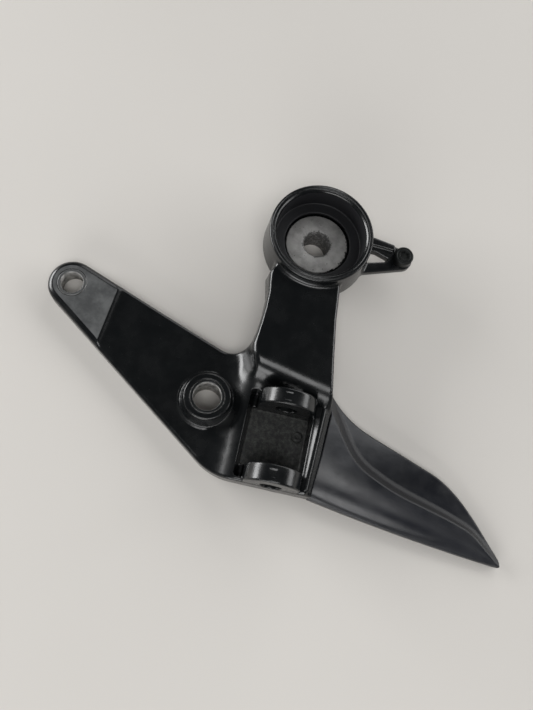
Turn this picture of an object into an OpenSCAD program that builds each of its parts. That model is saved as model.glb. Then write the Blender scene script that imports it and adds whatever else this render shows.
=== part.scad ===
// Rider footrest bracket: a painted casting with a deep bolt cup, a spacer
// boss, a bolt eye, a two-eared clevis for a folding peg, and a hollow
// moulded heel guard held on a hidden tongue by two screws from behind,
// which turn into brass inserts in the moulding.
//
// Origin: axis of the cup's bolt hole, on the mounting plane (Z = 0).
// +Z points outboard along the bolts, +Y runs along the peg pin.

/* [Bolt positions] */
// Boss bolt, distance left of the cup bolt
boss_x = -29.1; // [-32:0.1:-28]
// Boss bolt, distance below the cup bolt
boss_y = -73.8; // [-75:0.1:-72]
// Eye bolt, distance left of the cup bolt
eye_x = -92.3; // [-96:0.1:-90]
// Eye bolt, distance below the cup bolt
eye_y = -40.1; // [-41:0.1:-39]

/* [Bolt holes] */
// Hole diameter at the cup and the boss, for M10
bolt_d = 11; // [10.5:0.1:11.5]
// Hole diameter at the eye, for M8
eye_bolt_d = 9; // [8.5:0.1:9.5]
// Wall of the steel sleeves
sleeve_wall = 1.1; // [0.8:0.1:1.6]

/* [Heights above the mounting plane] */
// Top of the flat arm
arm_h = 7.2; // [6.5:0.1:7.6]
// Top of the eye pad
eye_h = 8.1; // [7.8:0.1:9]
// Top of the spacer boss
boss_h = 14.6; // [13:0.1:16]
// Top of the raised arm that carries the cup
upper_h = 20; // [19:0.1:21]
// Rim around the peg pocket
rim_h = 13; // [12:0.1:13.5]
// Crest of the wall beside the peg pocket
crest_h = 16.4; // [16:0.1:18]
// Floor of the peg pocket
floor_h = 5; // [4.5:0.1:5.5]

/* [Cup] */
// Outer radius at the rim
cup_r = 21.2; // [21:0.1:21.6]
// Outer radius at the foot of the wall
cup_foot_r = 22.3; // [22:0.1:22.8]
// Bore radius
cup_bore_r = 18.2; // [17.5:0.1:18.6]
// Rim height
cup_h = 24; // [23:0.1:25]
// Underside of the cup around its hub
cup_under = 7.7; // [7:0.1:8]
// Top of the bare seat inside the cup
seat_h = 12.8; // [12.4:0.1:13.2]

/* [Clevis] */
// Pin axis, distance right of the cup bolt
pin_x = 1.4; // [1:0.1:1.8]
// Pin axis height
pin_z = 15.5; // [15:0.1:16]
// Pin hole diameter, for an 8 mm pin
pin_d = 8.4; // [8.2:0.1:8.6]
// Crown radius of the ears
ear_r = 10.8; // [10.4:0.1:11]
// Inner face of the upper ear
gap_top = -72.2; // [-72.6:0.1:-71.8]
// Inner face of the lower ear
gap_bottom = -94.8; // [-95.2:0.1:-94.4]
// Thickness of one ear
ear_t = 6.2; // [5.8:0.1:6.4]

/* [Heel guard] */
// Wall thickness of the moulding
guard_wall = 2; // [1.8:0.1:2.2]
// Crest height beside the bracket
guard_h = 12; // [11.5:0.1:12.3]
// Crest height at the tip
guard_tip_h = 3.6; // [3.4:0.1:4]
// Top of the thin flange
flange_h = 5; // [4.8:0.1:5.4]

/* [Spring lug] */
// Post axis, distance right of the cup bolt
post_x = 36.9; // [36:0.1:38]
// Post axis, distance above the cup bolt
post_y = 3.7; // [3:0.1:4.4]
// Post diameter
post_d = 8; // [7.6:0.1:8.4]
// Top of the lug
lug_h = 11.2; // [11:0.1:12]
// Top of the post
post_h = 15; // [14.4:0.1:16]

/* [Hidden] */
$fn = 64;
eps = 0.01;

paint = "#17191b";
bare_metal = "#6f6d6a";
sleeve_metal = "#8a8a88";
moulding = "#1b1e26";
zinc = "#b9bcc0";
brass = "#b08d4a";

eye_r = 9.6;
boss_top_r = 9;
boss_foot_r = 11.6;
collar_r = 7.5;
seat_r = 12.9;
seat_recess_r = 13.7;
seat_t = 1.5;
cup_floor = 14;
hub_r = 12.5;
ear_top_back = gap_top + ear_t;
ear_bottom_back = gap_bottom - ear_t - 0.6;
bottom_y = -102;
guard_screws = [[27, -89], [45, -96]];
insert_top = [7.4, 6.5];
insert_r = 2.8;
tongue_z = [2.2, 4.4];
screw_r = 1.75;
screw_hole_r = 2.2;
washer_r = 4.2;
washer_t = 0.7;
head_r = 3.5;
head_z = tongue_z[0] - washer_t;

// Points on an arc about c, from angle a0 to a1
function arc(c, r, a0, a1, n = 10) =
    [for (i = [0 : n]) let (a = a0 + (a1 - a0) * i / n) c + r * [cos(a), sin(a)]];

// Right edge of the casting, where the heel guard butts
function seam_x(y) = 19.7 + 0.055 * (y + 64);

module at_bolt(p) {
    translate([p[0], p[1], 0]) children();
}

// ---- Bracket casting ----

module base_outline() {
    polygon(concat(
        [[eye_x + 3.2, eye_y + 9.05], [-55, -43.2]],
        arc([-24.7, -45.2], 8, -109, 0),
        [[-10, -51], [15.5, -51], [17.3, -62], [18.3, -65],
         [seam_x(-68.5), -68.5],
         [seam_x(bottom_y), bottom_y]],
        arc([-13, -77], 25, -90, -125),
        [[eye_x - 5.45, eye_y - 7.9]]));
}

module eye_end() {
    at_bolt([eye_x, eye_y]) cylinder(r = eye_r, h = eye_h);
    linear_extrude(eye_h)
        polygon([[eye_x + 3.2, eye_y + 9.05], [-75.4, -37.2], [-77.2, -61.2],
                 [eye_x - 5.45, eye_y - 7.9]]);
}

module boss() {
    at_bolt([boss_x, boss_y]) {
        cylinder(r1 = boss_foot_r + 1, r2 = boss_foot_r, h = arm_h);
        translate([0, 0, arm_h])
            cylinder(r1 = boss_foot_r - 1, r2 = boss_top_r, h = boss_h - arm_h);
    }
}

module upper_outline() {
    polygon([[-16.8, -68], [-16.7, -46], [-15.5, -36], [-15.6, -28],
             [-17.5, -20], [-10, -8], [8, -8], [12.2, -20], [13.2, -33.4],
             [15.3, -49.6], [17.3, -63], [17.9, -68]]);
}

// Raised arm; its lower end slopes down to the pocket's surround
module upper_arm() {
    difference() {
        intersection() {
            linear_extrude(upper_h) upper_outline();
            translate([0, -55.5, 0]) rotate([0, 0, -11.6]) rotate([90, 0, 90])
                linear_extrude(70, center = true)
                    polygon([[60, 0], [60, upper_h], [-2.4, upper_h],
                             [-4.8, upper_h - 0.8], [-6.6, upper_h - 2.4],
                             [-8.5, rim_h], [-8.5, 0]]);
        }
        // The underside rises to meet the cup
        rotate([90, 0, 90])
            linear_extrude(60, center = true)
                polygon([[-46, -1], [-46, 0], [-24, cup_under],
                         [10, cup_under], [10, -1]]);
        // Weight-saving pockets either side of a web
        for (x = [-11.6, 1.5])
            translate([x, -50, -1]) cube([x < 0 ? 10.1 : 8.4, 24, upper_h - 3.4]);
    }
}

module clevis_block() {
    intersection() {
        linear_extrude(upper_h + 10) base_outline();
        translate([0, -47, 0]) rotate([90, 0, 0])
            linear_extrude(56)
                polygon([[-21, 0], [-21, arm_h], [-14.4, rim_h], [12.4, rim_h],
                         [15.8, crest_h], [17.2, crest_h - 0.3], [18.6, crest_h - 2],
                         [19.8, guard_h + 1], [19.8, 0]]);
    }
}

module ear(y_inner, y_outer) {
    t = abs(y_outer - y_inner);
    y_low = min(y_inner, y_outer);
    translate([pin_x, y_low, 0]) {
        translate([0, t, pin_z]) rotate([90, 0, 0]) cylinder(r = ear_r, h = t);
        translate([-ear_r, 0, floor_h]) cube([2 * ear_r, t, pin_z - floor_h]);
    }
}

module pocket() {
    translate([0, gap_top, 0]) rotate([90, 0, 0])
        linear_extrude(gap_top - gap_bottom)
            polygon([[-11, floor_h], [12, floor_h], [12.4, rim_h], [12.4, 40],
                     [-13.2, 40], [-13.2, rim_h]]);
}

module cup_shell() {
    cylinder(r = hub_r, h = cup_under + 1);
    translate([0, 0, cup_under])
        cylinder(r1 = cup_foot_r, r2 = cup_r, h = cup_h - cup_under);
}

module cup_hollow() {
    translate([0, 0, cup_floor]) cylinder(r = cup_bore_r, h = cup_h);
    translate([0, 0, cup_h - 1.2])
        cylinder(r1 = cup_bore_r, r2 = cup_bore_r + 1.21, h = 1.21);
    translate([0, 0, seat_h - seat_t]) cylinder(r = seat_recess_r, h = cup_h);
    translate([0, 0, -1]) cylinder(r = collar_r, h = cup_h);
}

module spring_lug() {
    difference() {
        translate([0, 0, cup_under]) union() {
            linear_extrude(lug_h - cup_under)
                polygon([[16, -9.2], [post_x + 1.4, post_y - 4.35],
                         [post_x + 0.6, post_y + 4.55], [16, 11]]);
            at_bolt([post_x, post_y]) cylinder(r = 4.6, h = lug_h - cup_under);
        }
        translate([0, 0, cup_under - 1])
            linear_extrude(10)
                polygon([[21.5, 3.8], [25.5, 4], [31.2, 2.3], [29.8, 0.6], [21.5, -2]]);
    }
}

// Tongue under the heel guard
module tongue() {
    translate([0, 0, tongue_z[0]])
        linear_extrude(tongue_z[1] - tongue_z[0])
            polygon(concat([[16, -77], [23, -80], [33, -88.5]],
                           arc(guard_screws[1], 3.7, 75, -110),
                           [[24, -95.8], [16, -95.5]]));
}

module bracket() {
    color(paint)
    difference() {
        union() {
            linear_extrude(arm_h) base_outline();
            eye_end();
            boss();
            upper_arm();
            difference() {
                clevis_block();
                pocket();
            }
            ear(gap_top, ear_top_back);
            ear(gap_bottom, ear_bottom_back);
            cup_shell();
            spring_lug();
            tongue();
        }
        cup_hollow();
        at_bolt([boss_x, boss_y])
            translate([0, 0, -1]) cylinder(d = bolt_d + 2 * sleeve_wall, h = 30);
        at_bolt([eye_x, eye_y])
            translate([0, 0, -1]) cylinder(d = eye_bolt_d + 2 * sleeve_wall, h = 30);
        translate([pin_x, ear_top_back + 0.3, pin_z]) rotate([90, 0, 0])
            cylinder(d = pin_d, h = 60);
        at_bolt([post_x, post_y]) cylinder(r = 2.6, h = 30);
        for (p = guard_screws) at_bolt(p) cylinder(r = screw_hole_r, h = 12);
        // Core pocket behind the flat arm
        translate([0, 0, -1])
            linear_extrude(4.2)
                polygon([[-80, -47], [-48, -58.5], [-44.5, -66], [-46.5, -77], [-77, -55.5]]);
    }
}

// ---- Steel inserts ----

module sleeve(d, h) {
    difference() {
        cylinder(d = d + 2 * sleeve_wall, h = h);
        translate([0, 0, -1]) cylinder(d = d, h = h + 2);
    }
}

module cup_seat() {
    color(bare_metal)
    difference() {
        union() {
            cylinder(r = collar_r, h = seat_h - seat_t + eps);
            translate([0, 0, seat_h - seat_t]) cylinder(r = seat_r, h = seat_t);
        }
        translate([0, 0, -1]) cylinder(d = bolt_d, h = 30);
    }
}

module boss_sleeve() {
    color(sleeve_metal) at_bolt([boss_x, boss_y]) sleeve(bolt_d, boss_h);
}

module eye_sleeve() {
    color(sleeve_metal) at_bolt([eye_x, eye_y]) sleeve(eye_bolt_d, eye_h);
}

module spring_post() {
    color(zinc) at_bolt([post_x, post_y]) difference() {
        union() {
            translate([0, 0, cup_under - 1]) cylinder(r = 3.6, h = 1);
            translate([0, 0, cup_under - 1]) cylinder(r = 2.6, h = 5);
            translate([0, 0, lug_h]) cylinder(d = post_d, h = post_h - lug_h);
        }
        translate([0, 0, post_h - 0.7]) cylinder(r = 1.9, h = 2, $fn = 6);
    }
}

// ---- Heel guard ----

// Plan edges and crest line of the guard against distance along X
tip_x = 97.6;
stations = 22;
function edge_top(x) = lookup(x, [[19, -60], [25, -65.2], [31, -69.3], [37, -71.9],
    [53, -77.2], [69, -82.8], [77, -88], [84, -94.4], [90, -101], [95, -106.6],
    [tip_x, -109.4]]);
function edge_bottom(x) = lookup(x, [[16, -101.9], [37, -105.3], [62, -108.4],
    [94, -111.6], [tip_x, -111.8]]);
function crest_y(x) = lookup(x, [[19, -65.3], [23.3, -71.2], [27.2, -77.4],
    [31, -82.2], [35, -85.6], [41.2, -88.4], [48, -91], [55, -92.9], [72, -96.4],
    [84, -99.6], [91, -104.6], [tip_x, -110.3]]);
function crest_z(x) = lookup(x, [[19, guard_h], [45, 10], [72, 6.8], [88, 4.8],
    [tip_x, guard_tip_h]]);
function flange_z(x) = lookup(x, [[19, flange_h], [72, 4], [88, 3.4], [tip_x, 2.6]]);

// Closed section at one station: over the swelling, down to the flange, and
// back along the inside
function section(x) =
    let (yb = edge_bottom(x), yr = crest_y(x), yt = edge_top(x),
         zc = crest_z(x), zf = flange_z(x), w = guard_wall,
         wy = min(w, 0.3 * (yr - yb)), step = min(1.2, 0.4 * (yt - yr)))
    concat(
        [for (a = [0 : 15 : 90]) [yb + (yr - yb) * (1 - cos(a)), zc * sin(a)]],
        [[yr + step, zf], [yt - 0.2, zf], [yt, zf - 0.8], [yt, zf - w],
         [yr - wy + step, zf - w], [yr - wy, zc - w]],
        [for (a = [60 : -30 : 0])
            [yb + wy + (yr - yb - 2 * wy) * (1 - cos(a)), (zc - w) * sin(a)]]);

module guard_shell() {
    rings = [for (i = [0 : stations])
        let (u = i / stations, x0 = 19 + (tip_x - 19) * u)
        [for (p = section(x0)) [x0 + (seam_x(p[0]) - 19) * pow(1 - u, 3), p[0], p[1]]]];
    m = len(rings[0]);
    faces = concat(
        [[for (j = [m - 1 : -1 : 0]) j]],
        [for (i = [0 : stations - 1], j = [0 : m - 1], half = [0, 1])
            let (a = i * m + j, b = i * m + (j + 1) % m)
            half == 0 ? [a, b, b + m] : [a, b + m, a + m]],
        [[for (j = [0 : m - 1]) stations * m + j]]);
    polyhedron([for (r = rings, p = r) p], faces, convexity = 6);
}

module heel_guard() {
    color(moulding) guard_shell();
}

module heel_guard_inserts() {
    color(brass)
    for (i = [0, 1])
        at_bolt(guard_screws[i]) translate([0, 0, tongue_z[1]]) difference() {
            cylinder(r = insert_r, h = insert_top[i] - tongue_z[1]);
            translate([0, 0, -1]) cylinder(r = screw_r, h = 9);
        }
}

module heel_guard_washers() {
    color(zinc)
    for (p = guard_screws)
        at_bolt(p) translate([0, 0, head_z]) difference() {
            cylinder(r = washer_r, h = washer_t);
            translate([0, 0, -1]) cylinder(r = screw_hole_r, h = 3);
        }
}

module heel_guard_screws() {
    color(zinc)
    for (i = [0, 1])
        at_bolt(guard_screws[i]) difference() {
            union() {
                translate([0, 0, 0.1]) cylinder(r = head_r, h = head_z - 0.1);
                translate([0, 0, 1]) cylinder(r = screw_r, h = insert_top[i] - 1.2);
            }
            translate([0, 0, -0.5]) cylinder(r = 1.5, h = 1.7, $fn = 6);
        }
}

bracket();
cup_seat();
boss_sleeve();
eye_sleeve();
heel_guard();
heel_guard_inserts();
heel_guard_screws();
heel_guard_washers();
spring_post();
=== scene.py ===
import math

import bpy
import numpy as np
from mathutils import Matrix, Vector


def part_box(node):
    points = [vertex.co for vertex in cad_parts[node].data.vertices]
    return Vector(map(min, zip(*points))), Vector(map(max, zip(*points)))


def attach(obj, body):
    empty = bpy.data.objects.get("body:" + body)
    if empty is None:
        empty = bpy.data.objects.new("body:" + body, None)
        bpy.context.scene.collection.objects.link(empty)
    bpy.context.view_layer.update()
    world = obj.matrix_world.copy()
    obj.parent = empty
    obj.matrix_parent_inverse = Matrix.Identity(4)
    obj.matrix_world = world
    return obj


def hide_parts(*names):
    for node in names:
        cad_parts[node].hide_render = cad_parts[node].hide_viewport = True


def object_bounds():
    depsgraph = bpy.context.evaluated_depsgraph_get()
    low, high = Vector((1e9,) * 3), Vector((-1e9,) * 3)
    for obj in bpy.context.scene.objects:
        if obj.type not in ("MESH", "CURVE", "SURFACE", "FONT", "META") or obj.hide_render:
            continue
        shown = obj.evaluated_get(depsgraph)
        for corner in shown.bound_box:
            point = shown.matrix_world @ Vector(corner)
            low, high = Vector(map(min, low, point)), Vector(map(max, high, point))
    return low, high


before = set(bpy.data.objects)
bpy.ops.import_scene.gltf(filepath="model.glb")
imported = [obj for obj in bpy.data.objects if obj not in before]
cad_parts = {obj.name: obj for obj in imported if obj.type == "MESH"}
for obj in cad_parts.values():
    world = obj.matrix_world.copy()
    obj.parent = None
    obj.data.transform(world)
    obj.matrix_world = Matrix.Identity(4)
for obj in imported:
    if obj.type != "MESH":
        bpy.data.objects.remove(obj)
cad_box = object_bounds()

# Shapes are worked out in millimetres, in the CAD frame, and written in metres.
MM = 0.001


def centre_mm(node):
    """The middle of a node's CAD box."""
    low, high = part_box(node)
    return (low + high) / 2 / MM


# ---------------------------------------------------------------- dimensions

EYE = centre_mm("eye_sleeve")
BOSS = centre_mm("boss_sleeve")
POST = centre_mm("spring_post")
# Heights above the mounting face
ARM_H, PAD_H, BOSS_H, UPPER_H = 7.2, 8.1, 14.6, 20.0
RIM_H, CREST_H, CREST_RISE, FLOOR_H, LUG_H = 13.0, 16.4, 1.2, 5.0, 11.2
CUP_H, CUP_UNDER, CUP_FLOOR, SEAT_H, SEAT_T = 24.0, 7.7, 14.0, 12.8, 1.5
# Cup, seat and boss, as radii
CUP_R, CUP_FOOT_R, CUP_BORE_R, HUB_R, GROOVE_R, MOUTH_BEVEL = 21.2, 22.3, 18.2, 12.5, 20.0, 1.1
SEAT_R, SEAT_RECESS_R, COLLAR_R = 12.9, 13.7, 7.5
BOSS_TOP_R, BOSS_FOOT_R, BOSS_STEP_R, EYE_END_R = 9.0, 10.6, 11.5, 9.6
# Bolt holes, and the sleeves in them
M10_R, M8_R, SLEEVE_WALL = 5.5, 4.5, 1.1
# Clevis: its pin, its ears and the gap between them
PIN_X, PIN_Z, PIN_R, EAR_R, EAR_T, MARK_DEPTH = 1.4, 15.5, 4.2, 10.76, 6.2, 0.18
GAP_TOP, GAP_BOTTOM, FOOT_Y = -72.2, -94.8, -102.0
# Length of the ramp at the pad's end, tilt of the raised arm's lower slope, and the edges' radius
PAD_RUN, SLOPE_TILT, EDGE_R = 1.4, 11.6, 1.4
# Spring post
POST_H, POST_R, POST_SHANK_R = 15.0, 4.0, 2.6
# Heel guard, and what holds it to the tongue
TIP_X, GUARD_WALL, RIBS_X = 97.6, 2.0, (37.0, 56.0, 70.0)
SCREWS = [(27.0, -89.0), (45.0, -96.0)]
TONGUE = (2.2, 4.4)
INSERT_TOPS = (7.4, 6.5)
SCREW_HOLE_R, WASHER_T, THREAD_PITCH = 2.2, 0.7, 0.7
# Hairline gaps that keep touching pieces apart
FIT, LIFT = 0.01, 0.02


def seam_x(y):
    """Where the heel guard meets the casting."""
    return 19.7 + 0.055 * (y + 64)


def arc(c, r, a0, a1, n=16):
    """n points on an arc from a0 to a1 degrees."""
    angles = np.radians(np.linspace(a0, a1, n))
    return [(c[0] + r * math.cos(a), c[1] + r * math.sin(a)) for a in angles]


# ---------------------------------------------------------------- distances


def cut(a, b, r=0.0):
    """What is inside both a and b, with the outer edge rounded to radius r."""
    rounded = np.hypot(np.maximum(a + r, 0), np.maximum(b + r, 0))
    return np.minimum(np.maximum(a, b), -r) + rounded


def join(a, b, r=0.0):
    """a and b together, with a fillet of radius r between them."""
    return -cut(-a, -b, r)


def carve(a, b, r=0.0):
    """a with b taken out, and the edge between them rounded to radius r."""
    return cut(a, -b, r)


def outline(points, x, y):
    """Signed distance from a closed outline in the plane of x and y."""
    p = np.array(points, np.float32)
    best = np.full(np.broadcast(x, y).shape, 1e9, np.float32)
    inside = np.zeros(best.shape, bool)
    for (ax, ay), (bx, by) in zip(p, np.roll(p, -1, 0)):
        ex, ey = bx - ax, by - ay
        wx, wy = x - ax, y - ay
        t = np.clip((wx * ex + wy * ey) / (ex * ex + ey * ey), 0, 1)
        best = np.minimum(best, (wx - ex * t) ** 2 + (wy - ey * t) ** 2)
        at = ax + (y - ay) * ex / (ey if abs(ey) > 1e-6 else 1e-6)
        inside ^= ((ay > y) != (by > y)) & (x < at)
    d = np.sqrt(best)
    return np.where(inside, -d, d)


def smooth_step(a, b, v):
    """0 at a and 1 at b, smooth between them and level outside."""
    t = np.clip((v - a) / (b - a), 0, 1)
    return t * t * (3 - 2 * t)


def plane(points, u, v):
    """Distance above the line from the first to the second point."""
    (au, av), (bu, bv) = points
    eu, ev = bu - au, bv - av
    return ((v - av) * eu - (u - au) * ev) / math.hypot(eu, ev)


class Grid:
    """A block of sample points in mm, for fields of signed distance."""

    def __init__(self, low, high, step):
        self.low = np.array(low, np.float32)
        self.step = step
        counts = np.ceil((np.array(high) - self.low) / step).astype(int) + 1
        axes = [low[i] + step * np.arange(counts[i], dtype=np.float32) for i in range(3)]
        self.x = axes[0][:, None, None]
        self.y = axes[1][None, :, None]
        self.z = axes[2][None, None, :]

    def plan(self, points):
        """Distance from an outline, the same at every height."""
        return outline(points, self.x[:, :, 0], self.y[:, :, 0])[:, :, None]


def sample(d, grid, p):
    """The field d at points p, between its grid points."""
    q = (p - grid.low) / grid.step
    i = np.clip(np.floor(q).astype(int), 0, np.array(d.shape) - 2)
    f = q - i
    total = 0
    for a in (0, 1):
        for b in (0, 1):
            for c in (0, 1):
                w = np.abs(1 - a - f[:, 0]) * np.abs(1 - b - f[:, 1]) * np.abs(1 - c - f[:, 2])
                total = total + w * d[i[:, 0] + a, i[:, 1] + b, i[:, 2] + c]
    return total


def gradient(d, grid, p):
    """The direction and rate in which d grows at points p."""
    reach = grid.step * 0.6
    change = np.stack([sample(d, grid, p + off) - sample(d, grid, p - off)
                       for off in np.eye(3) * reach], 1)
    return change / (2 * reach)


def surface(d, grid):
    """The zero level of d, as vertices and quads: one vertex in each cell that it crosses."""
    solid_at = d < 0
    nx, ny, nz = d.shape
    count = np.zeros((nx - 1, ny - 1, nz - 1), np.int8)
    corners = [(a, b, c) for a in (0, 1) for b in (0, 1) for c in (0, 1)]
    for a, b, c in corners:
        count += solid_at[a:nx - 1 + a, b:ny - 1 + b, c:nz - 1 + c]
    cells = np.argwhere((count > 0) & (count < 8))
    value = {o: d[cells[:, 0] + o[0], cells[:, 1] + o[1], cells[:, 2] + o[2]] for o in corners}
    place = np.zeros((len(cells), 3))
    hits = np.zeros(len(cells))
    for o in corners:
        for axis in range(3):
            if o[axis]:
                continue
            far = tuple(o[k] + (k == axis) for k in range(3))
            v0, v1 = value[o], value[far]
            crosses = (v0 < 0) != (v1 < 0)
            t = np.where(crosses, v0 / np.where(crosses, v0 - v1, 1), 0)
            at = np.tile(np.array(o, float), (len(cells), 1))
            at[:, axis] += t
            place[crosses] += at[crosses]
            hits += crosses
    verts = (cells + place / hits[:, None]) * grid.step + grid.low
    index = np.full(count.shape, -1)
    index[tuple(cells.T)] = np.arange(len(cells))
    quads = []
    for axis in range(3):
        u, v = [(1, 2), (2, 0), (0, 1)][axis]
        n = d.shape[axis]
        near, far = np.take(solid_at, range(n - 1), axis), np.take(solid_at, range(1, n), axis)
        edges = np.argwhere(near != far)
        keep = (edges[:, u] > 0) & (edges[:, v] > 0)
        keep &= (edges[:, u] < d.shape[u] - 1) & (edges[:, v] < d.shape[v] - 1)
        edges = edges[keep]
        ring = []
        for du, dv in ((-1, -1), (0, -1), (0, 0), (-1, 0)):
            cell_at = edges.copy()
            cell_at[:, u] += du
            cell_at[:, v] += dv
            ring.append(index[tuple(cell_at.T)])
        ring = np.stack(ring, 1)
        flip = ~solid_at[tuple(edges.T)]
        ring[flip] = ring[flip][:, ::-1]
        quads.append(ring)
    return verts, np.concatenate(quads)


def link(name, data):
    obj = bpy.data.objects.new(name, data)
    bpy.context.scene.collection.objects.link(obj)
    return obj


def mesh_from(name, verts, faces):
    """A mesh from arrays of vertices in mm and of quads."""
    mesh = bpy.data.meshes.new(name)
    mesh.vertices.add(len(verts))
    mesh.vertices.foreach_set("co", (np.asarray(verts) * MM).astype(np.float32).ravel())
    mesh.loops.add(faces.size)
    mesh.loops.foreach_set("vertex_index", faces.astype(np.int32).ravel())
    mesh.polygons.add(len(faces))
    mesh.polygons.foreach_set("loop_start", np.arange(0, faces.size, 4, dtype=np.int32))
    mesh.update(calc_edges=True)
    return mesh


def solid(name, d, grid, keep=1.0):
    """An object on the zero level of d, thinned to a share of its faces, shaded from d itself."""
    verts, quads = surface(d, grid)
    # Two steps of Newton's method bring the vertices onto the surface
    for _ in range(2):
        slope = gradient(d, grid, verts)
        step = sample(d, grid, verts) / np.maximum((slope * slope).sum(1), 0.3)
        verts = verts - slope * step[:, None]
    obj = link(name, mesh_from(name, verts, quads))
    if keep < 1.0:
        thin = obj.modifiers.new("thin", "DECIMATE")
        thin.ratio = keep
        view = bpy.context.evaluated_depsgraph_get()
        mesh = bpy.data.meshes.new_from_object(obj.evaluated_get(view))
        obj.modifiers.clear()
        obj.data = mesh
    mesh = obj.data
    mesh.shade_smooth()
    co = np.zeros(len(mesh.vertices) * 3, np.float32)
    mesh.vertices.foreach_get("co", co)
    normals = gradient(d, grid, co.reshape(-1, 3) / MM)
    normals /= np.maximum(np.linalg.norm(normals, axis=1, keepdims=True), 1e-6)
    mesh.normals_split_custom_set_from_vertices(normals)
    return obj


def lathe(name, profile, centre, segments=96):
    """A ring or disc from a closed profile of (radius, height) in mm."""
    angles = np.linspace(0, 2 * math.pi, segments, endpoint=False)
    rings = [[(centre[0] + r * math.cos(a), centre[1] + r * math.sin(a), z) for a in angles]
             for r, z in profile]
    verts = np.array(rings).reshape(-1, 3)
    m = len(profile)
    faces = [[j * segments + i, j * segments + (i + 1) % segments,
              (j + 1) % m * segments + (i + 1) % segments, (j + 1) % m * segments + i]
             for j in range(m) for i in range(segments)]
    obj = link(name, mesh_from(name, verts, np.array(faces)))
    obj.data.shade_smooth()
    return obj


# ---------------------------------------------------------------- bracket casting


def base_outline():
    return (
        [(-55.0, -43.2)]
        + arc((-24.7, -45.2), 8.0, -109, 0)
        + [(-10, -49), (9, -49), (14, -59.5), (17.4, -62.5), (18.4, -65.5),
           (seam_x(-69), -69), (seam_x(FOOT_Y), FOOT_Y)]
        + arc((-13, -77), 25.0, -90, -126)
        + arc((EYE.x, EYE.y), EYE_END_R, 235.5, 70.7, 24)
    )


def upper_outline():
    return [(-16.8, -68), (-16.7, -46), (-16.0, -41), (-15.5, -35), (-15.6, -28),
            (-17.5, -20), (-10, -8), (8, -8), (12.2, -20), (13.2, -33.4),
            (15.3, -49.6), (17.3, -63), (17.9, -68)]


def casting_plan(g):
    return np.minimum(g.plan(base_outline()), g.plan(upper_outline()))


def casting_top(x, y, z):
    """What lies under the casting's upper side, and the radius of its upper edges."""
    # Flat arm, with the pad's far side a short ramp
    pad_edge = plane([(-76.0, -62.3), (-73.8, -37.6)], x, y)
    pad_end = plane([(0, PAD_H), (PAD_RUN, ARM_H)], -pad_edge, z)
    arm_top = join(z - ARM_H, cut(z - PAD_H, pad_end, 0.35), 0.35)
    # Block round the peg pocket: left ramp, flat rim, and the wall on the right
    ramp = plane([(-21.0, ARM_H), (-14.4, RIM_H)], x, z)
    block = cut(cut(ramp, z - RIM_H, 2.2), y + 47)
    crest = CREST_H + CREST_RISE * smooth_step(-80, -62, y)
    flank = plane([(-3.4, CREST_H), (0.3, 8.0)], x - seam_x(y), z)
    wall = cut(plane([(12.5, RIM_H), (16.1, CREST_H)], x, z), z - crest, 1.0)
    wall = cut(wall, flank, 1.6)
    # Raised arm, its lower end sloping down to the block
    tilt = math.radians(SLOPE_TILT)
    along = x * math.sin(tilt) + (y + 55.5) * math.cos(tilt)
    slope = plane([(-8.5, RIM_H), (-6.7, UPPER_H)], along, z)
    lean = 2.6 * smooth_step(-50, -60, y)
    left_side = -plane([(-16.6, UPPER_H), (-18.4, ARM_H)], x - lean, z)
    raised = cut(cut(z - UPPER_H, slope, 6.0), left_side, 2.2)
    top = join(join(block, wall, 1.2), raised, 1.8 + 3.2 * smooth_step(-4, -13, x))
    # The edge is rounder at the pad and at the wall's upper end
    edge_r = EDGE_R + 1.4 * smooth_step(-3, 2, pad_edge)
    edge_r = edge_r + 1.0 * smooth_step(11, 14, x) * smooth_step(-61, -66, y)
    return join(arm_top, top, 5.0), edge_r


def boss_shape(x, y, z):
    to_boss = np.hypot(x - BOSS.x, y - BOSS.y)
    cone = plane([(BOSS_FOOT_R, ARM_H), (BOSS_TOP_R, BOSS_H)], to_boss, z)
    step = cut(to_boss - BOSS_STEP_R, z - ARM_H - 0.25, 0.2)
    return join(cut(-cone, z - BOSS_H, 0.5), step, 0.2)


def cup_shape(r, z):
    """The cup's outside, and the hub that it stands on."""
    side = -plane([(CUP_FOOT_R, CUP_UNDER), (CUP_R, CUP_H)], r, z)
    cup = cut(cut(side, z - CUP_H, 0.8), CUP_UNDER - z, 1.2)
    return join(cup, cut(r - HUB_R, z - 12), 1.5)


def carve_cup(body, r, z):
    """Bore, bevelled mouth, groove in the rim, recess for the seat and hole for its collar."""
    body = carve(body, cut(r - CUP_BORE_R, CUP_FLOOR - z, 0.3), 0.3)
    mouth = (r - CUP_BORE_R - MOUTH_BEVEL + (CUP_H - z)) / math.sqrt(2)
    body = carve(body, mouth, 0.25)
    body = carve(body, np.hypot(r - GROOVE_R, z - CUP_H) - 0.42, 0.1)
    body = carve(body, cut(r - SEAT_RECESS_R, SEAT_H - SEAT_T - z), 0.3)
    return carve(body, r - COLLAR_R)


def spring_lug(g):
    x, y, z = g.x, g.y, g.z
    plan = g.plan([(14, -9.5)] + arc((POST.x, POST.y), 4.6, -70, 78) + [(14, 11.4)])
    rib = cut(-plane([(18, 6.6), (33.5, 6.2)], x, y), z - LUG_H - 1.2, 0.4)
    top = join(z - LUG_H, cut(rib, x - 33, 0.4), 0.5)
    return cut(cut(plan, top, 0.9), CUP_UNDER - z, 0.6)


def tongue_shape(g):
    """The tongue under the heel guard that its screws go through."""
    plan = g.plan([(15, -77), (23, -80), (33, -88.5)] + arc(SCREWS[1], 3.7, 75, -110)
                  + [(24, -95.8), (15, -95.5)])
    return cut(cut(plan, g.z - TONGUE[1], 0.5), TONGUE[0] - g.z, 0.5)


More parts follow.
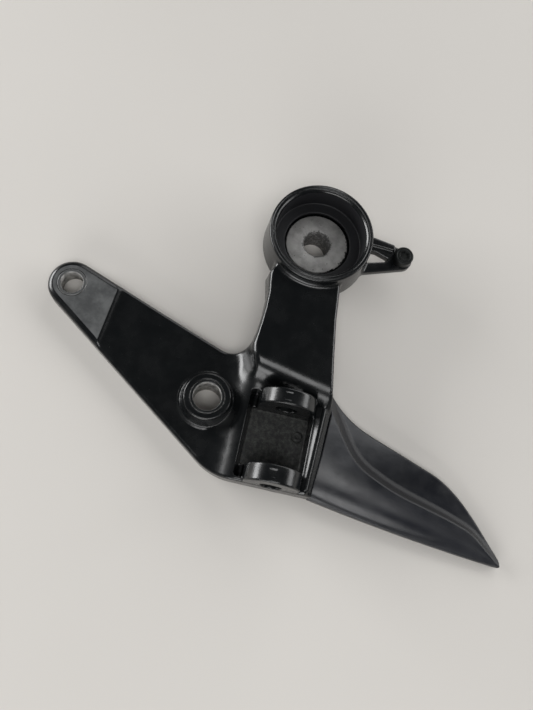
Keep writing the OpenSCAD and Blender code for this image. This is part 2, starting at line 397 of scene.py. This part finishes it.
def carve_pocket(body, x, y, z):
    """The peg pocket between the ears, with the slots beside them."""
    left = plane([(-11.0, FLOOR_H), (-13.2, RIM_H)], x, z)
    right = -plane([(12.0, FLOOR_H), (12.4, RIM_H)], x, z)
    pocket = cut(cut(left, right, 0.8), FLOOR_H - z, 0.5)
    pocket = cut(pocket, cut(y - GAP_TOP, GAP_BOTTOM - y), 0.5)
    body = carve(body, pocket, 0.35)
    for low_y, high_y in ((GAP_TOP - 1, -66.2), (-100.2, GAP_BOTTOM + 1)):
        slot = cut(cut(left, x + 9.3, 0.6), cut(y - high_y, low_y - y), 1.4)
        body = carve(body, cut(slot, FLOOR_H + 2 - z, 0.8), 0.35)
    # Ejector mark in the floor: a ring with a dot in its middle
    to_mark = np.hypot(x - 9.0, y + 79.4)
    body = carve(body, np.hypot(to_mark - 2.1, z - FLOOR_H) - 0.42, 0.1)
    return carve(body, cut(to_mark - 0.9, FLOOR_H - 0.35 - z, 0.1), 0.1)


def add_ear(body, x, y, z, inner, outer, lean):
    """body with a clevis ear from inner to outer along y, and a square mark on its crown."""
    half = abs(outer - inner) / 2
    middle = (outer + inner) / 2 + lean * (z - PIN_Z)
    disc = np.hypot(x - PIN_X, np.maximum(z - PIN_Z, 0)) - EAR_R
    ear = cut(disc, np.abs(y - middle) - half, 0.7)
    ear = cut(ear, FLOOR_H - 1 - z)
    square = np.maximum(np.abs(x - PIN_X + 1.2), np.abs(y - middle)) - 1.4
    mark = cut(square, -MARK_DEPTH - disc, 0.1)
    return carve(join(body, ear, 0.4), cut(mark, PIN_Z - z), 0.2)


def carve_back(body, g):
    """Core pockets behind the flat arm and, with a web between them, the raised arm."""
    arm_core = g.plan([(-80, -47), (-48, -58.5), (-44.5, -66), (-46.5, -77), (-77, -55.5)])
    body = carve(body, cut(arm_core, g.z - 3.2, 0.8), 0.5)
    for x0, x1 in ((-11.6, -1.5), (1.5, 9.9)):
        across = np.abs(g.x - (x0 + x1) / 2) - (x1 - x0) / 2
        span = cut(across, np.abs(g.y + 38) - 12, 2.5)
        body = carve(body, cut(span, g.z - (UPPER_H - 4.4), 1.0), 0.6)
    return body


def bracket_field(g):
    x, y, z = g.x, g.y, g.z
    top, edge_r = casting_top(x, y, z)
    body = cut(casting_plan(g), top, edge_r)
    # The raised arm's underside climbs to the cup's
    under = plane([(-46, 0), (-24, CUP_UNDER)], y, z)
    body = carve(body, cut(under, -20 - x), 0.8)
    body = join(body, boss_shape(x, y, z))
    r = np.hypot(x, y)
    body = join(body, cup_shape(r, z), 1.8)
    body = join(body, spring_lug(g), 1.2)
    lug_hole = g.plan([(21.5, 3.8), (25.5, 4.0), (31.2, 2.3), (29.8, 0.6), (21.5, -2.0)])
    body = carve(body, lug_hole, 0.6)
    body = join(body, tongue_shape(g), 0.8)
    body = carve_pocket(body, x, y, z)
    body = add_ear(body, x, y, z, GAP_TOP, GAP_TOP + EAR_T, 0.0)
    body = add_ear(body, x, y, z, GAP_BOTTOM, GAP_BOTTOM - EAR_T - 0.6, 0.05)
    pin_hole = cut(np.hypot(x - PIN_X, z - PIN_Z) - PIN_R, y - (GAP_TOP + EAR_T + 0.3))
    body = carve(body, pin_hole, 0.3)
    body = carve_cup(body, r, z)
    # Holes for the sleeves, the post and the guard's screws
    holes = [(BOSS.x, BOSS.y, M10_R + SLEEVE_WALL), (EYE.x, EYE.y, M8_R + SLEEVE_WALL),
             (POST.x, POST.y, POST_SHANK_R)]
    holes += [(px, py, SCREW_HOLE_R) for px, py in SCREWS]
    for px, py, radius in holes:
        body = carve(body, np.hypot(x - px, y - py) - radius, 0.1)
    body = carve_back(body, g)
    return cut(body, -z, 0.4)


# ---------------------------------------------------------------- heel guard


def smooth_curve(points, x):
    """A smooth curve through a few points: the straight lines between them, averaged."""
    xs, ys = zip(*points)
    offsets, weights = np.linspace(-5, 5, 11), np.hanning(13)[1:-1]
    total = sum(np.interp(x + o, xs, ys) * w for o, w in zip(offsets, weights))
    return total / weights.sum()


# The step beside the crest starts this far below the crest line and leans outwards
CREST_BACK, STEP_LEAN = 1.2, 0.62
# Plan of the guard's upper edge and of its crest line, as (x, y)
EDGE_TOP = [(10, -47.4), (19, -59.6), (25, -65.2), (31, -69.3), (37, -71.9), (53, -77.2),
            (69, -82.6), (77, -87.8), (84, -94.2), (90, -100.8), (95, -106.4), (104, -116.5)]
CREST_LINE = [(10, -50.0), (19, -65.3), (23.3, -71.2), (27.2, -77.4), (31, -82.2), (35, -85.6),
              (41.2, -88.4), (48, -91), (55, -92.9), (72, -96.4), (84, -99.6), (91, -104.6),
              (104, -115.0)]


def guard_low_edge(x):
    return -101.4 - 0.172 * (x - 13) + 0.0006 * (x - 13) ** 2


def guard_height(x):
    return 12.6 - 0.05 * (x - 10) - 0.0006 * (x - 10) ** 2


def flange_height(x):
    return 5.1 - 0.012 * (x - 10) - 0.00018 * (x - 10) ** 2


def guard_inside(body, outer, g):
    """body with ribs, and with the bosses that hold the screws' inserts, inside outer."""
    x, y, z = g.x, g.y, g.z
    inside = cut(outer + 0.6, 0.8 - z)
    for rib_x in RIBS_X:
        body = join(body, cut(np.abs(x - rib_x) - 0.6, inside), 0.5)
    on_tongue = TONGUE[1] + 0.05
    for px, py in SCREWS:
        to_screw = np.hypot(x - px, y - py)
        body = join(body, cut(cut(to_screw - 4.4, on_tongue - z), inside), 0.4)
        body = carve(body, cut(to_screw - 6.5, z - on_tongue))
        body = carve(body, cut(to_screw - 2.8, z - 7.6))
    return body


def guard_field(g):
    x, z = g.x, g.z
    # The outlines run well past both ends, so that only their long edges shape the guard
    along = np.arange(-30, 140, 1.5)
    low_edge = [(a, guard_low_edge(a)) for a in along]
    high_edge = list(zip(along, smooth_curve(EDGE_TOP, along)))
    crest_edge = list(zip(along, smooth_curve(CREST_LINE, along)))
    far_low, far_high = [(142, -220), (-32, -220)], [(142, 90), (-32, 90)]
    below_top = g.plan(high_edge + far_low)
    above_bottom = g.plan(low_edge + far_high)
    below_crest = g.plan(crest_edge + far_low) + CREST_BACK
    ends = cut(cut(below_top, above_bottom, 0.9), x - TIP_X + 0.1, 0.9)
    # The swelling: a rounded shoulder from the crest line down to the lower edge
    inward, outward = np.maximum(-above_bottom, 0.01), np.maximum(-below_crest, 0.0)
    share = outward / (outward + inward)
    height = guard_height(x)
    level = np.sqrt(np.clip(1 - share ** 2.2, 0, 1)) * height
    slope_x, slope_y = np.gradient(level[:, :, 0], g.step)
    steep = np.sqrt(1 + slope_x ** 2 + slope_y ** 2)[:, :, None]
    dome = (z - level) / steep
    drop = (below_crest - (height - z) * STEP_LEAN) / math.hypot(1, STEP_LEAN)
    swelling = cut(dome, drop, 0.5)
    shell = join(swelling, z - flange_height(x), 1.5)
    outer = cut(ends, shell, 0.8)
    body = cut(carve(outer, outer + GUARD_WALL, 0.3), -z, 0.3)
    body = guard_inside(body, outer, g)
    return carve(body, casting_plan(g) - 0.05, 0.25)


# ---------------------------------------------------------------- metal pieces


def bevelled_ring(r0, r1, z0, z1, c):
    """A tube's profile with small chamfers."""
    return [(r0, z0 + c), (r0 + c, z0), (r1 - c, z0), (r1, z0 + c),
            (r1, z1 - c), (r1 - c, z1), (r0 + c, z1), (r0, z1 - c)]


def seat_profile():
    """The seat's disc, chamfered on top, on the collar that fills the hole below it."""
    bore, collar, top = M10_R, COLLAR_R - 0.01, SEAT_H
    under = SEAT_H - SEAT_T
    return [(bore, 0.3), (bore + 0.3, 0), (collar - 0.29, 0), (collar, 0.3), (collar, under),
            (SEAT_R, under + 0.01), (SEAT_R, top - 0.3), (SEAT_R - 0.3, top),
            (bore + 0.5, top), (bore, top - 0.4)]


def hexagon(x, y, across):
    return np.maximum.reduce([np.abs(x * math.cos(a) + y * math.sin(a)) - across / 2
                              for a in np.radians([0, 60, 120])])


def post_field(g):
    x, y, z = g.x - POST.x, g.y - POST.y, g.z
    r = np.hypot(x, y)
    head = cut(cut(r - POST_R, z - POST_H, 0.7), LUG_H - z, 0.2)
    shank = cut(r - POST_SHANK_R, np.abs(z - 10) - 3.2)
    foot = cut(cut(r - 3.6, CUP_UNDER - 1 - z, 0.5), z - CUP_UNDER, 0.1)
    drive = cut(hexagon(x, y, 3.4), POST_H - 0.6 - z)
    rim = np.hypot(r - 2.9, z - POST_H) - 0.18
    return carve(carve(join(join(head, shank), foot), drive, 0.15), rim, 0.1)


def screw_field(g, px, py, top):
    x, y, z = g.x - px, g.y - py, g.z
    r = np.hypot(x, y)
    seat = TONGUE[0] - WASHER_T
    head = cut(cut(r - 3.5, 0.1 - z, 0.6), z - seat, 0.1)
    thread = 0.14 * np.cos(2 * math.pi * (z / THREAD_PITCH) - np.arctan2(y, x))
    shank = cut(r - 1.62 + thread * smooth_step(seat, seat + 0.8, z), z - top, 0.3)
    shank = cut(shank, 0.5 - z)
    socket = cut(hexagon(x, y, 2.5), z - 1.1)
    return carve(join(head, shank, 0.1), socket, 0.1)


# ---------------------------------------------------------------- materials


class Shader:
    """Short forms for building a node material."""

    def __init__(self, name, **sockets):
        self.material = bpy.data.materials.new(name)
        self.material.use_nodes = True
        self.nodes = self.material.node_tree.nodes
        self.links = self.material.node_tree.links
        self.base = self.nodes["Principled BSDF"]
        for key, value in sockets.items():
            self.base.inputs[key].default_value = value
        coordinates = self.nodes.new("ShaderNodeTexCoord").outputs
        self.place, self.normal = coordinates["Object"], coordinates["Normal"]

    def put(self, target, source):
        if isinstance(source, (int, float, tuple)):
            target.default_value = source
        else:
            self.links.new(source, target)

    def noise(self, per_m, detail=4.0, rough=0.55, where=None):
        node = self.nodes.new("ShaderNodeTexNoise")
        self.put(node.inputs["Vector"], where or self.place)
        node.inputs["Scale"].default_value = per_m
        node.inputs["Detail"].default_value = detail
        node.inputs["Roughness"].default_value = rough
        return node.outputs["Fac"]

    def ramp(self, source, low, high, to_low=0.0, to_high=1.0):
        node = self.nodes.new("ShaderNodeMapRange")
        node.interpolation_type = "SMOOTHSTEP"
        self.put(node.inputs["Value"], source)
        for key, value in (("From Min", low), ("From Max", high),
                           ("To Min", to_low), ("To Max", to_high)):
            node.inputs[key].default_value = value
        return node.outputs["Result"]

    def window(self, value, low, high, soft):
        """1 where value lies between low and high, in mm, with soft edges."""
        rising = self.ramp(value, (low - soft) * MM, (low + soft) * MM)
        falling = self.ramp(value, (high - soft) * MM, (high + soft) * MM, 1.0, 0.0)
        return self.times(rising, falling)

    def math(self, operation, a, b=0.0):
        node = self.nodes.new("ShaderNodeMath")
        node.operation = operation
        self.put(node.inputs[0], a)
        self.put(node.inputs[1], b)
        return node.outputs[0]

    def plus(self, a, b):
        return self.math("ADD", a, b)

    def times(self, a, b):
        return self.math("MULTIPLY", a, b)

    def radius(self, x, y):
        return self.math("SQRT", self.plus(self.times(x, x), self.times(y, y)))

    def mix(self, share, a, b, kind="RGBA"):
        node = self.nodes.new("ShaderNodeMix")
        node.data_type = kind
        self.put(node.inputs["Factor"], share)
        self.put(node.inputs["A"], a)
        self.put(node.inputs["B"], b)
        return node.outputs["Result"]

    def blend(self, share, a, b):
        return self.mix(share, a, b, "FLOAT")

    def axes(self, source=None):
        """The x, y and z of a vector, or of the place on the object."""
        node = self.nodes.new("ShaderNodeSeparateXYZ")
        self.links.new(source or self.place, node.inputs[0])
        return node.outputs

    def bump(self, *layers):
        """Each layer is (height, strength, distance in mm)."""
        normal = None
        for height, strength, distance in layers:
            node = self.nodes.new("ShaderNodeBump")
            self.put(node.inputs["Height"], height)
            self.put(node.inputs["Strength"], strength)
            node.inputs["Distance"].default_value = distance * MM
            if normal is not None:
                self.links.new(normal, node.inputs["Normal"])
            normal = node.outputs["Normal"]
        self.links.new(normal, self.base.inputs["Normal"])

    def finish(self, colour, roughness):
        self.put(self.base.inputs["Base Color"], colour)
        self.put(self.base.inputs["Roughness"], roughness)
        return self.material


def black_paint():
    m = Shader("black_paint", IOR=1.5)
    x, y, z = m.axes()
    in_cup = m.times(m.ramp(m.radius(x, y), 18.4 * MM, 18.6 * MM, 1.0, 0.0),
                     m.window(z, 13.0, 22.6, 0.2))
    # The peg pocket's floor is rough as cast, and the eye's pad is dull and mottled
    floor = m.times(m.window(x, -11.5, 12.4, 0.5), m.window(y, -95.2, -71.8, 0.5))
    floor = m.times(floor, m.window(z, 4.2, 5.8, 0.2))
    slant = m.plus(x, m.times(y, -0.089))
    pad = m.times(m.ramp(slant, -70.9 * MM, -70.5 * MM, 1.0, 0.0), m.ramp(z, 8.02 * MM, 8.08 * MM))
    speck = m.ramp(m.noise(1700, 2), 0.72, 0.76)
    colour = m.mix(m.noise(45, 5), (0.002, 0.0025, 0.0028, 1), (0.0042, 0.0048, 0.0052, 1))
    colour = m.mix(m.times(speck, 0.25), colour, (0.09, 0.09, 0.09, 1))
    mottle = m.ramp(m.noise(150, 6, 0.65), 0.35, 0.68)
    mottled = m.mix(mottle, (0.045, 0.047, 0.048, 1), (0.10, 0.103, 0.103, 1))
    colour = m.mix(pad, colour, mottled)
    pitting = m.ramp(m.noise(700, 5, 0.7), 0.4, 0.7)
    as_cast = m.mix(pitting, (0.008, 0.0085, 0.008, 1), (0.06, 0.062, 0.056, 1))
    colour = m.mix(floor, colour, as_cast)
    colour = m.mix(in_cup, colour, (0.0025, 0.0027, 0.0042, 1))
    rough = m.ramp(m.noise(130, 5), 0.3, 0.7, 0.20, 0.30)
    for place_mask, place_rough in ((in_cup, 0.6), (pad, 0.5), (floor, 0.55)):
        rough = m.blend(place_mask, rough, place_rough)
    m.bump((m.noise(160, 2), 0.10, 0.6), (m.noise(900, 3), 0.06, 0.15),
           (m.noise(2600, 4, 0.7), m.blend(floor, 0.0, 0.7), 0.3))
    return m.finish(colour, rough)


def bare_metal(name, dark, light, per_m, rough, metallic=0.85, end_paint=None):
    """Blotched metal; end_paint is the colour of the overspray on the end that faces up."""
    m = Shader(name, Metallic=metallic)
    blotch = m.ramp(m.noise(per_m, 6, 0.65), 0.3, 0.7)
    colour = m.mix(blotch, dark, light)
    pits = m.noise(per_m * 9, 3, 0.7)
    roughness = m.ramp(pits, 0.3, 0.7, rough, rough + 0.2)
    if end_paint:
        ragged = m.plus(m.axes(m.normal)[2], m.ramp(m.noise(1500, 3), 0.3, 0.7, -0.2, 0.2))
        end = m.ramp(ragged, 0.55, 0.65)
        colour = m.mix(end, colour, end_paint)
        roughness = m.blend(end, roughness, 0.3)
    m.bump((pits, 0.35, 0.12))
    return m.finish(colour, roughness)


def bare_seat():
    """A dull machined face, with ragged black overspray at its right edge and round its hole."""
    m = Shader("bare_seat", Metallic=0.25)
    x, y, z = m.axes()
    blotch = m.ramp(m.noise(170, 6, 0.65), 0.3, 0.7)
    colour = m.mix(blotch, (0.24, 0.236, 0.229, 1), (0.39, 0.383, 0.372, 1))
    ragged = m.plus(m.radius(x, y), m.ramp(m.noise(900, 4, 0.7), 0.3, 0.7, -1.0 * MM, 1.0 * MM))
    outside = m.ramp(m.plus(ragged, m.times(x, 0.09)), 13.5 * MM, 13.8 * MM)
    round_hole = m.ramp(ragged, 5.7 * MM, 5.9 * MM, 1.0, 0.0)
    specks = m.ramp(m.noise(1300, 2), 0.70, 0.74, 0.0, 0.8)
    paint = m.math("MAXIMUM", outside, m.times(round_hole, 0.55))
    paint = m.math("MAXIMUM", paint, specks)
    colour = m.mix(paint, colour, (0.008, 0.008, 0.008, 1))
    pits = m.noise(1600, 3, 0.7)
    m.bump((m.noise(380, 4, 0.6), 0.25, 0.4), (pits, 0.3, 0.1))
    return m.finish(colour, m.ramp(pits, 0.3, 0.7, 0.45, 0.65))


def guard_plastic():
    m = Shader("guard_plastic", IOR=1.5)
    flow = m.nodes.new("ShaderNodeMapping")
    flow.inputs["Scale"].default_value = (0.5, 1.6, 1.0)
    flow.inputs["Rotation"].default_value = (0, 0, 0.35)
    m.links.new(m.place, flow.inputs["Vector"])
    cloud = m.ramp(m.noise(60, 5, 0.6, flow.outputs["Vector"]), 0.32, 0.7)
    x, y, z = m.axes()
    # Painted sheen: a grey painted reflection near the bracket, fading towards the lower edge and the
    # tip
    away = m.math("SUBTRACT", m.times(x, 0.3), y)
    away = m.plus(away, m.ramp(m.noise(38, 4), 0.3, 0.7, -5 * MM, 5 * MM))
    painted_sheen = m.ramp(away, 78 * MM, 104 * MM, 1.0, 0.0)
    dark = m.mix(cloud, (0.0035, 0.0042, 0.0068, 1), (0.0065, 0.0075, 0.0115, 1))
    grey = m.mix(cloud, (0.045, 0.047, 0.051, 1), (0.115, 0.117, 0.121, 1))
    # the grey here is painted reflection, not the plastic's own colour
    colour = m.mix(painted_sheen, dark, grey)
    fleck = m.ramp(m.noise(1500, 2), 0.73, 0.77)
    colour = m.mix(m.times(fleck, 0.3), colour, (0.12, 0.12, 0.13, 1))
    # Painted shade: the step beside the crest faces away from the bracket, so its colour is painted
    # dark by the way it faces, standing in for shade; it is also dull
    facing = m.axes(m.normal)
    lean = m.plus(m.times(facing[0], 0.5), m.times(facing[1], 0.85))
    step = m.ramp(lean, 0.12, 0.34)
    # painted shade on the faces that lean away from the bracket
    colour = m.mix(step, colour, (0.003, 0.0034, 0.005, 1))
    m.bump((m.noise(70, 2), 0.12, 1.0), (m.noise(2200, 3, 0.6), 0.18, 0.12))
    rough = m.ramp(m.noise(110, 5), 0.3, 0.72, 0.30, 0.44)
    return m.finish(colour, m.blend(step, rough, 0.5))


# ---------------------------------------------------------------- camera, light, floor

CAMERA_PLACE = (-0.0247, -0.1214, 0.250)
CAMERA_RIGHT = (0.9706, 0.2090, 0.1194)
CAMERA_UP = (-0.2337, 0.9369, 0.2601)
CAMERA_BACK = (-0.0575, -0.2803, 0.9582)
FLOOR_HALF, FLOOR_DROP = 1.6, 0.0002
# Each soft light: name, place and size in metres, watts. All aim at the bracket's middle.
AIM = (0.0, -0.05, 0.0)
LIGHTS = (
    ("key", (0.45, 0.85, 0.50), (1.5, 0.8), 7.0),
    ("left", (-0.95, 0.16, 0.25), (0.7, 0.36), 10.0),
    ("right", (0.95, 0.15, 0.40), (0.7, 0.40), 4.0),
    ("front", (-0.15, -0.95, 0.24), (0.8, 0.40), 5.0),
    ("top", (0.05, -0.45, 0.85), (0.6, 0.36), 3.2),
)


def set_camera():
    data = bpy.data.cameras.new("camera")
    data.lens = 31.94
    data.sensor_width = 36
    data.clip_start = 0.01
    camera = link("camera", data)
    turn = Matrix((CAMERA_RIGHT, CAMERA_UP, CAMERA_BACK)).transposed().to_4x4()
    camera.matrix_world = Matrix.Translation(CAMERA_PLACE) @ turn
    bpy.context.scene.camera = camera


def area_light(name, place, size, watts):
    data = bpy.data.lights.new(name, "AREA")
    data.shape = "RECTANGLE"
    data.size, data.size_y = size
    data.energy = watts
    lamp = link(name, data)
    lamp.location = place
    lamp.rotation_euler = (Vector(AIM) - Vector(place)).to_track_quat("-Z", "Y").to_euler()


def set_floor():
    mesh = bpy.data.meshes.new("floor")
    half, low = FLOOR_HALF, cad_box[0][2] - FLOOR_DROP
    mesh.from_pydata([(-half, -half, low), (half, -half, low), (half, half, low), (-half, half, low)],
                     [], [(0, 1, 2, 3)])
    floor = link("floor", mesh)
    m = Shader("floor_paper")
    tone = m.mix(m.noise(6, 3), (0.60, 0.575, 0.54, 1), (0.64, 0.615, 0.58, 1))
    floor.data.materials.append(m.finish(tone, 0.75))


def set_world():
    world = bpy.data.worlds.new("world")
    world.use_nodes = True
    background = world.node_tree.nodes["Background"]
    background.inputs["Color"].default_value = (0.9, 0.95, 1, 1)
    background.inputs["Strength"].default_value = 0.06
    bpy.context.scene.world = world
    bpy.context.scene.view_settings.view_transform = "Standard"


# ---------------------------------------------------------------- assembly


def place(obj, node, slot, material):
    obj.data.materials.clear()
    obj.data.materials.append(material)
    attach(obj, "root")
    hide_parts(node)


def joined(name, parts):
    """One object from several."""
    for obj in bpy.context.selected_objects:
        obj.select_set(False)
    for obj in parts:
        obj.select_set(True)
    bpy.context.view_layer.objects.active = parts[0]
    bpy.ops.object.join()
    parts[0].name = name
    return parts[0]


def grid_round(node, margin, step):
    """A grid over a node's CAD box and a margin all round it, in mm."""
    low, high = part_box(node)
    spare = Vector((margin, margin, margin))
    return Grid(low / MM - spare, high / MM + spare, step)


set_camera()
set_floor()
set_world()
for light in LIGHTS:
    area_light(*light)

cell = 0.36
grid = grid_round("bracket", 1.5, cell)
casting = solid("bracket_casting", bracket_field(grid), grid, 0.45)
place(casting, "bracket", "black_paint", black_paint())
grid = grid_round("heel_guard", 1.5, cell)
guard = solid("heel_guard_moulding", guard_field(grid), grid, 0.6)
place(guard, "heel_guard", "guard_plastic", guard_plastic())

bore = ((0.10, 0.098, 0.094, 1), (0.55, 0.54, 0.52, 1))
boss_metal = bare_metal("boss_sleeve_steel", *bore, 620, 0.45, 0.35, (0.005, 0.006, 0.0065, 1))
eye_metal = bare_metal("eye_sleeve_steel", *bore, 300, 0.45, 0.35, (0.10, 0.102, 0.102, 1))
zinc = bare_metal("zinc_steel", (0.4, 0.41, 0.42, 1), (0.55, 0.56, 0.56, 1), 260, 0.28)
brass = bare_metal("insert_brass", (0.42, 0.29, 0.11, 1), (0.6, 0.44, 0.2, 1), 260, 0.3)
post_steel = bare_metal("post_steel", (0.012, 0.013, 0.013, 1), (0.03, 0.032, 0.031, 1), 300, 0.32)

seat = lathe("cup_seat_collar", seat_profile(), (0, 0))
place(seat, "cup_seat", "bare_seat", bare_seat())
boss_ring = bevelled_ring(M10_R, M10_R + SLEEVE_WALL - FIT, LIFT, BOSS_H, 0.15)
place(lathe("boss_sleeve_tube", boss_ring, BOSS), "boss_sleeve", "sleeve_steel", boss_metal)
eye_ring = bevelled_ring(M8_R, M8_R + SLEEVE_WALL - FIT, LIFT, PAD_H, 0.12)
place(lathe("eye_sleeve_tube", eye_ring, EYE), "eye_sleeve", "sleeve_steel", eye_metal)
grid = grid_round("spring_post", 0.5, 0.14)
post = solid("spring_post_pin", post_field(grid), grid, 0.6)
place(post, "spring_post", "post_steel", post_steel)

washer_ring = bevelled_ring(SCREW_HOLE_R, 4.2, TONGUE[0] - WASHER_T, TONGUE[0] - LIFT, 0.12)
screws, washers, inserts = [], [], []
for (px, py), top in zip(SCREWS, INSERT_TOPS):
    grid = Grid((px - 4, py - 4, -0.3), (px + 4, py + 4, top + 0.4), 0.15)
    screws.append(solid("screw", screw_field(grid, px, py, top - 0.2), grid, 0.6))
    washers.append(lathe("washer", washer_ring, (px, py)))
    insert_ring = bevelled_ring(1.78, 2.78, TONGUE[1] + LIFT, top, 0.15)
    inserts.append(lathe("insert", insert_ring, (px, py)))
place(joined("guard_screws", screws), "heel_guard_screws", "zinc_steel", zinc)
place(joined("guard_washers", washers), "heel_guard_washers", "zinc_steel", zinc)
place(joined("guard_inserts", inserts), "heel_guard_inserts", "insert_brass", brass)
